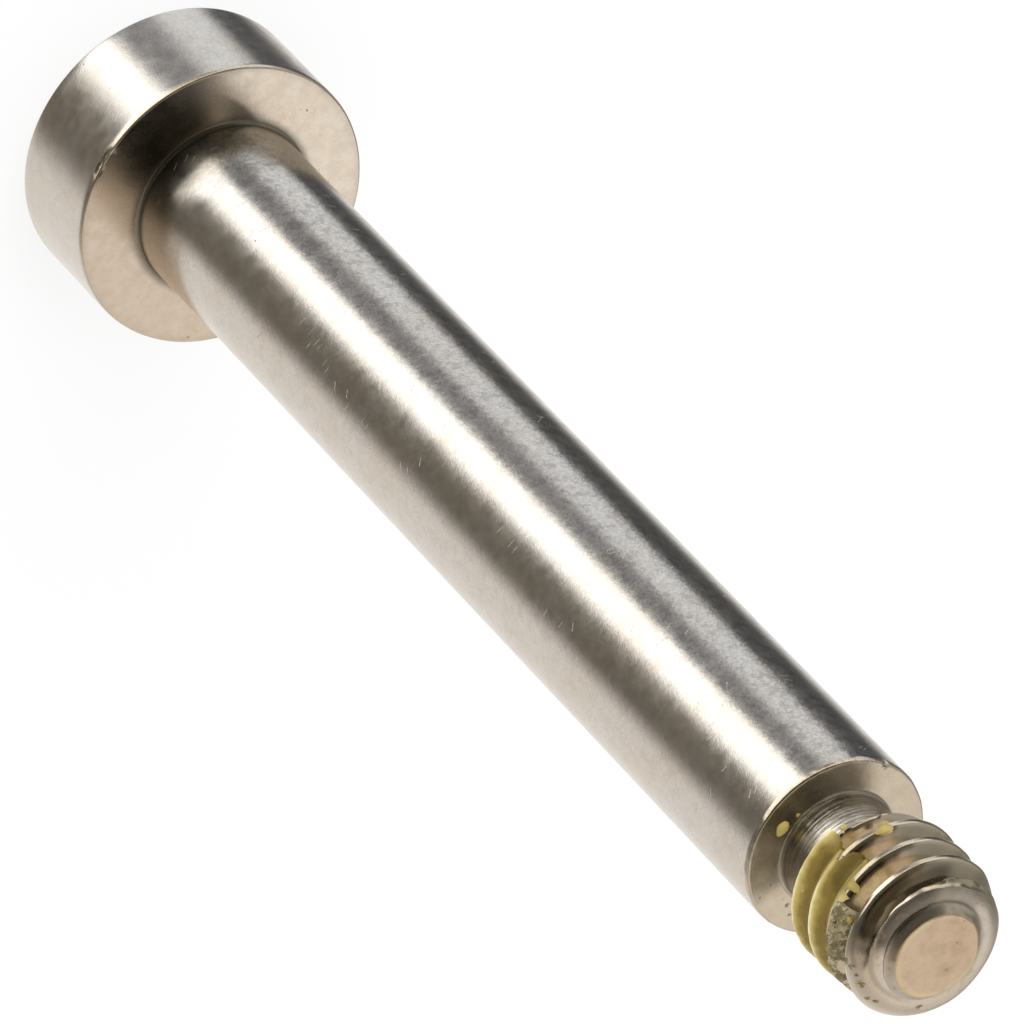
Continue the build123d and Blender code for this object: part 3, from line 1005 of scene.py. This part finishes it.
# drops of compound that missed the patch: angle, height, radius, size along, size across, thickness
DROPS = [
    (239, 37.46, 2.06, 0.2, 0.16, 0.09),
    (234.5, 37.2, 2.02, 0.13, 0.08, 0.04),
    (257, 36.68, 2, 0.11, 0.07, 0.05),
    (273, 36.42, 1.66, 0.12, 0.16, 0.05),
    (300, 38.62, 1.86, 0.09, 0.09, 0.07),
    (306, 37.02, 2.13, 0.03, 0.03, 0.02),
    (289.1, SHOULDER_END, 1.769, 0.21, 0.14, 0.06),
    (274.2, SHOULDER_END, 1.644, 0.06, 0.045, 0.03),
]
DROP_SHADE = 0.55


def drop_points(number, angle, height, radius, along, across, thick):
    """An uneven flattened ball; it lies on the end face or on the thread's side."""
    polar, turn = np.meshgrid(np.linspace(0, math.pi, 15), np.radians(np.arange(0, 360, 15)), indexing="ij")
    bulge = 1 + 0.3 * noise(np.degrees(turn) / 45, polar * 2, 50 + number, 8)
    a = along * np.sin(polar) * np.cos(turn) * bulge
    b = across * np.sin(polar) * np.sin(turn) * bulge
    c = thick * np.cos(polar)
    spin = math.radians(angle)
    out = np.array([math.cos(spin), math.sin(spin), 0])
    side = np.array([-math.sin(spin), math.cos(spin), 0])
    up = np.array([0.0, 0.0, 1.0])
    lean, normal = (out, up) if height == SHOULDER_END else (up, out)
    place = radius * out + height * up
    return place + a[..., None] * side + b[..., None] * lean + c[..., None] * normal


drop_shape = bmesh.new()
for number, drop in enumerate(DROPS):
    mesh = grid_mesh("drop", drop_points(number, *drop))
    drop_shape.from_mesh(mesh)
    bpy.data.meshes.remove(mesh)
bmesh.ops.recalc_face_normals(drop_shape, faces=drop_shape.faces)
drops_mesh = bpy.data.meshes.new("drops")
drop_shape.to_mesh(drops_mesh)
drop_shape.free()
shade = drops_mesh.attributes.new("depth_and_painted_light", "FLOAT", "POINT")
shade.data.foreach_set("value", [DROP_SHADE] * len(drops_mesh.vertices))
add_piece("patch_drops", drops_mesh, [compound])

# ---- studio ----

FLOOR_HALF = 3.0
FLOOR_HEIGHT = -0.00001
FLOOR_GLOW = 0.8  # share of it that the camera sees, which keeps the background white
floor_corners = [(x * FLOOR_HALF, y * FLOOR_HALF) for x, y in ((-1, -1), (1, -1), (1, 1), (-1, 1))]
floor_mesh = bpy.data.meshes.new("floor")
floor_mesh.from_pydata([(x, y, FLOOR_HEIGHT) for x, y in floor_corners], [], [(0, 1, 2, 3)])
floor = add_object("floor", floor_mesh)
floor_material, ground, matt = new_material("floor_white")
ground.fill(matt, {"Base Color": (0.92, 0.92, 0.92, 1), "Roughness": 0.9, "Specular IOR Level": 0})
glow = ground.add("Emission").outputs[0]
share = ground.times(ground.add("LightPath").outputs["Is Camera Ray"], FLOOR_GLOW)
blend = ground.add("MixShader", {0: share, 1: matt.outputs[0], 2: glow})
output = [node for node in ground.tree.nodes if node.type == "OUTPUT_MATERIAL"][0]
ground.put(output.inputs[0], blend.outputs[0])
floor_mesh.materials.append(floor_material)
floor.visible_glossy = False

# Cards round the bolt, as the steel sees them below the horizon: the direction, softness and lean of the
# edge where each starts, the same of the edge where it ends, and its colour. Directions are degrees from +Y
# towards -X, and an edge leans by so many degrees per degree of height.
CARDS = [
    ((192, 12, 1), (249, 30, 0), (0.2, 0.18, 0.15)),
    ((152, 9, 0), (189, 12, 1.2), (2.3, 2.29, 2.25)),
    ((120, 16, 1.2), (152, 8, 0), (0.33, 0.335, 0.355)),
    ((84, 11, 2.1), (120, 16, 1.2), (1.08, 1.11, 1.15)),
    ((32, 30, 0), (84, 11, 2.1), (0.093, 0.096, 0.1)),
]
SURROUND = (1.03, 0.98, 0.93)
BACKDROP = (1.0, 1.0, 0.98)
CARDS_HEIGHT = -47  # degrees, where the directions of leaning edges are given
BACKDROP_FROM = (0.86, 0.98)  # cosine of the angle to +Y

# Higher up, rings of light and shade: direction and colour, with soft steps in between. Their order upward is
# that of RINGS, which says from which height, in degrees, each one takes over.
LEDGE = [
    (0, (0.55, 0.5, 0.43)), (36, (0.25, 0.23, 0.19)), (72, (0.16, 0.15, 0.13)), (88, (1.15, 1.12, 1.05)),
    (112, (1.15, 1.12, 1.05)), (126, (0.4, 0.38, 0.35)), (144, (0.5, 0.46, 0.4)), (158, (2.0, 1.9, 1.7)),
    (200, (2.0, 1.9, 1.7)), (218, (0.14, 0.13, 0.1)), (238, (0.19, 0.17, 0.14)), (254, (0.4, 0.36, 0.3)),
    (268, (0.55, 0.5, 0.42)), (288, (0.95, 0.88, 0.78)), (335, (0.95, 0.88, 0.78)), (360, (0.55, 0.5, 0.43)),
]
GLOW = [
    (0, (0.5, 0.45, 0.38)), (60, (0.2, 0.18, 0.14)), (84, (0.9, 0.8, 0.65)), (112, (1.8, 1.5, 1.1)),
    (200, (2.1, 1.75, 1.28)), (222, (0.15, 0.13, 0.1)), (250, (0.35, 0.3, 0.24)), (268, (0.75, 0.68, 0.58)),
    (330, (0.9, 0.82, 0.72)), (360, (0.5, 0.45, 0.38)),
]
HORIZON = [
    (0, (0.95, 0.87, 0.77)), (34, (0.28, 0.26, 0.22)), (54, (0.6, 0.56, 0.48)), (96, (0.65, 0.6, 0.52)),
    (112, (0.13, 0.115, 0.09)), (228, (0.13, 0.115, 0.09)), (252, (0.32, 0.28, 0.22)),
    (276, (0.65, 0.58, 0.48)), (330, (0.8, 0.72, 0.62)), (360, (0.95, 0.87, 0.77)),
]
DUSK = [
    (0, (1.1, 1.02, 0.92)), (12, (0.95, 0.88, 0.79)), (28, (0.42, 0.38, 0.34)), (44, (0.46, 0.42, 0.37)),
    (88, (0.62, 0.56, 0.49)), (101, (0.25, 0.23, 0.19)), (118, (0.08, 0.075, 0.06)),
    (150, (0.012, 0.012, 0.01)), (206, (0.012, 0.012, 0.01)), (230, (0.09, 0.085, 0.06)),
    (260, (0.6, 0.5, 0.4)), (295, (0.9, 0.77, 0.61)), (340, (1.05, 0.92, 0.77)), (360, (1.1, 1.02, 0.92)),
]
SKY = [(118, (0.12, 0.11, 0.085)), (206, (0.1, 0.09, 0.07)), (230, (0.14, 0.125, 0.09))]
SKY = DUSK[:6] + SKY + DUSK[10:]
ZENITH = [
    (0, (0.35, 0.31, 0.26)), (60, (0.6, 0.5, 0.37)), (92, (0.6, 0.5, 0.37)), (112, (0.14, 0.12, 0.09)),
    (124, (0.04, 0.035, 0.03)), (150, (0.01, 0.01, 0.01)), (206, (0.01, 0.01, 0.01)),
    (236, (0.04, 0.035, 0.03)), (262, (0.4, 0.33, 0.25)), (300, (0.6, 0.5, 0.4)), (360, (0.35, 0.31, 0.26)),
]
CROWN = [(0, (0.35, 0.31, 0.26)), (70, (0.6, 0.5, 0.37)), (98, (0.6, 0.5, 0.37)), (124, (0.2, 0.15, 0.09))]
CROWN = CROWN + [(216, (0.2, 0.15, 0.09))] + ZENITH[-3:]
CEILING = [(0, (0.25, 0.22, 0.18)), (360, (0.25, 0.22, 0.18))]

world = bpy.data.worlds.new("studio")
bpy.context.scene.world = world
world.use_nodes = True
world.cycles.sampling_method = "NONE"
sky = Nodes(world.node_tree)
direction = sky.add("TexCoord").outputs["Generated"]
east, north, up = sky.add("SeparateXYZ", {0: direction}).outputs
round_axis = sky.math("DEGREES", sky.math("ARCTAN2", sky.times(east, -1), north))
round_axis = sky.math("FLOORED_MODULO", round_axis, 360.0)
rise = sky.math("DEGREES", sky.math("ARCSINE", up))
above_cards = sky.math("SUBTRACT", rise, CARDS_HEIGHT)


def past(edge):
    """0 before a card's edge and 1 after it."""
    place, soft, lean = edge
    place = sky.math("MULTIPLY_ADD", above_cards, lean, place)
    start = sky.math("SUBTRACT", place, soft / 2)
    return sky.smooth(round_axis, start, sky.math("ADD", place, soft / 2))


level = sky.math("SQRT", sky.math("SUBTRACT", 1, sky.math("POWER", up, 2)))
facing_back = sky.math("DIVIDE", north, level)
seen = sky.mix(sky.smooth(facing_back, *BACKDROP_FROM), SURROUND, BACKDROP)
for start, end, card in CARDS:
    seen = sky.mix(sky.times(past(start), sky.math("SUBTRACT", 1, past(end))), seen, card)


def ring(stops):
    """A colour by direction."""
    colour = stops[0][1]
    for (low, _), (high, tint) in zip(stops, stops[1:]):
        colour = sky.mix(sky.smooth(round_axis, low, high), colour, tint)
    return colour


RINGS = [
    (-42, -35, LEDGE),
    (-16, -11, GLOW),
    (-5, 1, HORIZON),
    (26, 36, SKY),
    (45, 50, DUSK),
    (58, 62, ZENITH),
    (65, 70, CROWN),
    (76, 84, CEILING),
]
for low, high, stops in RINGS:
    seen = sky.mix(sky.smooth(rise, low, high), seen, ring(stops))
mirrored = sky.add("LightPath").outputs["Is Glossy Ray"]
plain = sky.add("Background", {0: (1, 1, 1, 1)}).outputs[0]
reflected = sky.add("Background", {0: seen}).outputs[0]
choice = sky.add("MixShader", {0: mirrored, 1: plain, 2: reflected})
sky.add("OutputWorld", {0: choice.outputs[0]})

# a soft box that gives the floor its shadow; the steel doesn't mirror it; metres and watts
LAMP_PLACE = Vector((-0.25, -0.25, 0.5))
LAMP_AIM = Vector((0, 0, 0.02))
LAMP_SIZE = 0.35
LAMP_POWER = 1.0

lamp_data = bpy.data.lights.new("soft_box", "AREA")
lamp_data.shape = "DISK"
lamp_data.size = LAMP_SIZE
lamp_data.energy = LAMP_POWER
lamp = add_object("soft_box", lamp_data)
lamp.location = LAMP_PLACE
lamp.rotation_mode = "QUATERNION"
lamp.rotation_quaternion = (LAMP_AIM - LAMP_PLACE).to_track_quat("-Z", "Y")
lamp.visible_glossy = False

# ---- camera ----

CAMERA_PLACE = Vector((0.0537, -173.991, 206.381))
CAMERA_AIM = Vector((0.0537, 7.882, 10.623))
CAMERA_ROLL = 136.255
CAMERA_LENS = 368.54
SENSOR_WIDTH = 36.0

camera_data = bpy.data.cameras.new("camera")
camera_data.sensor_width = SENSOR_WIDTH
camera_data.lens = CAMERA_LENS
camera_data.clip_start = 0.01
camera_data.clip_end = 20.0
camera = add_object("camera", camera_data)
facing = (CAMERA_AIM - CAMERA_PLACE).to_track_quat("-Z", "Y").to_matrix()
facing = facing @ Matrix.Rotation(math.radians(CAMERA_ROLL), 3, "Z")
camera.matrix_world = Matrix.Translation(CAMERA_PLACE * MM) @ facing.to_4x4()
bpy.context.scene.camera = camera
bpy.context.scene.view_settings.view_transform = "Standard"
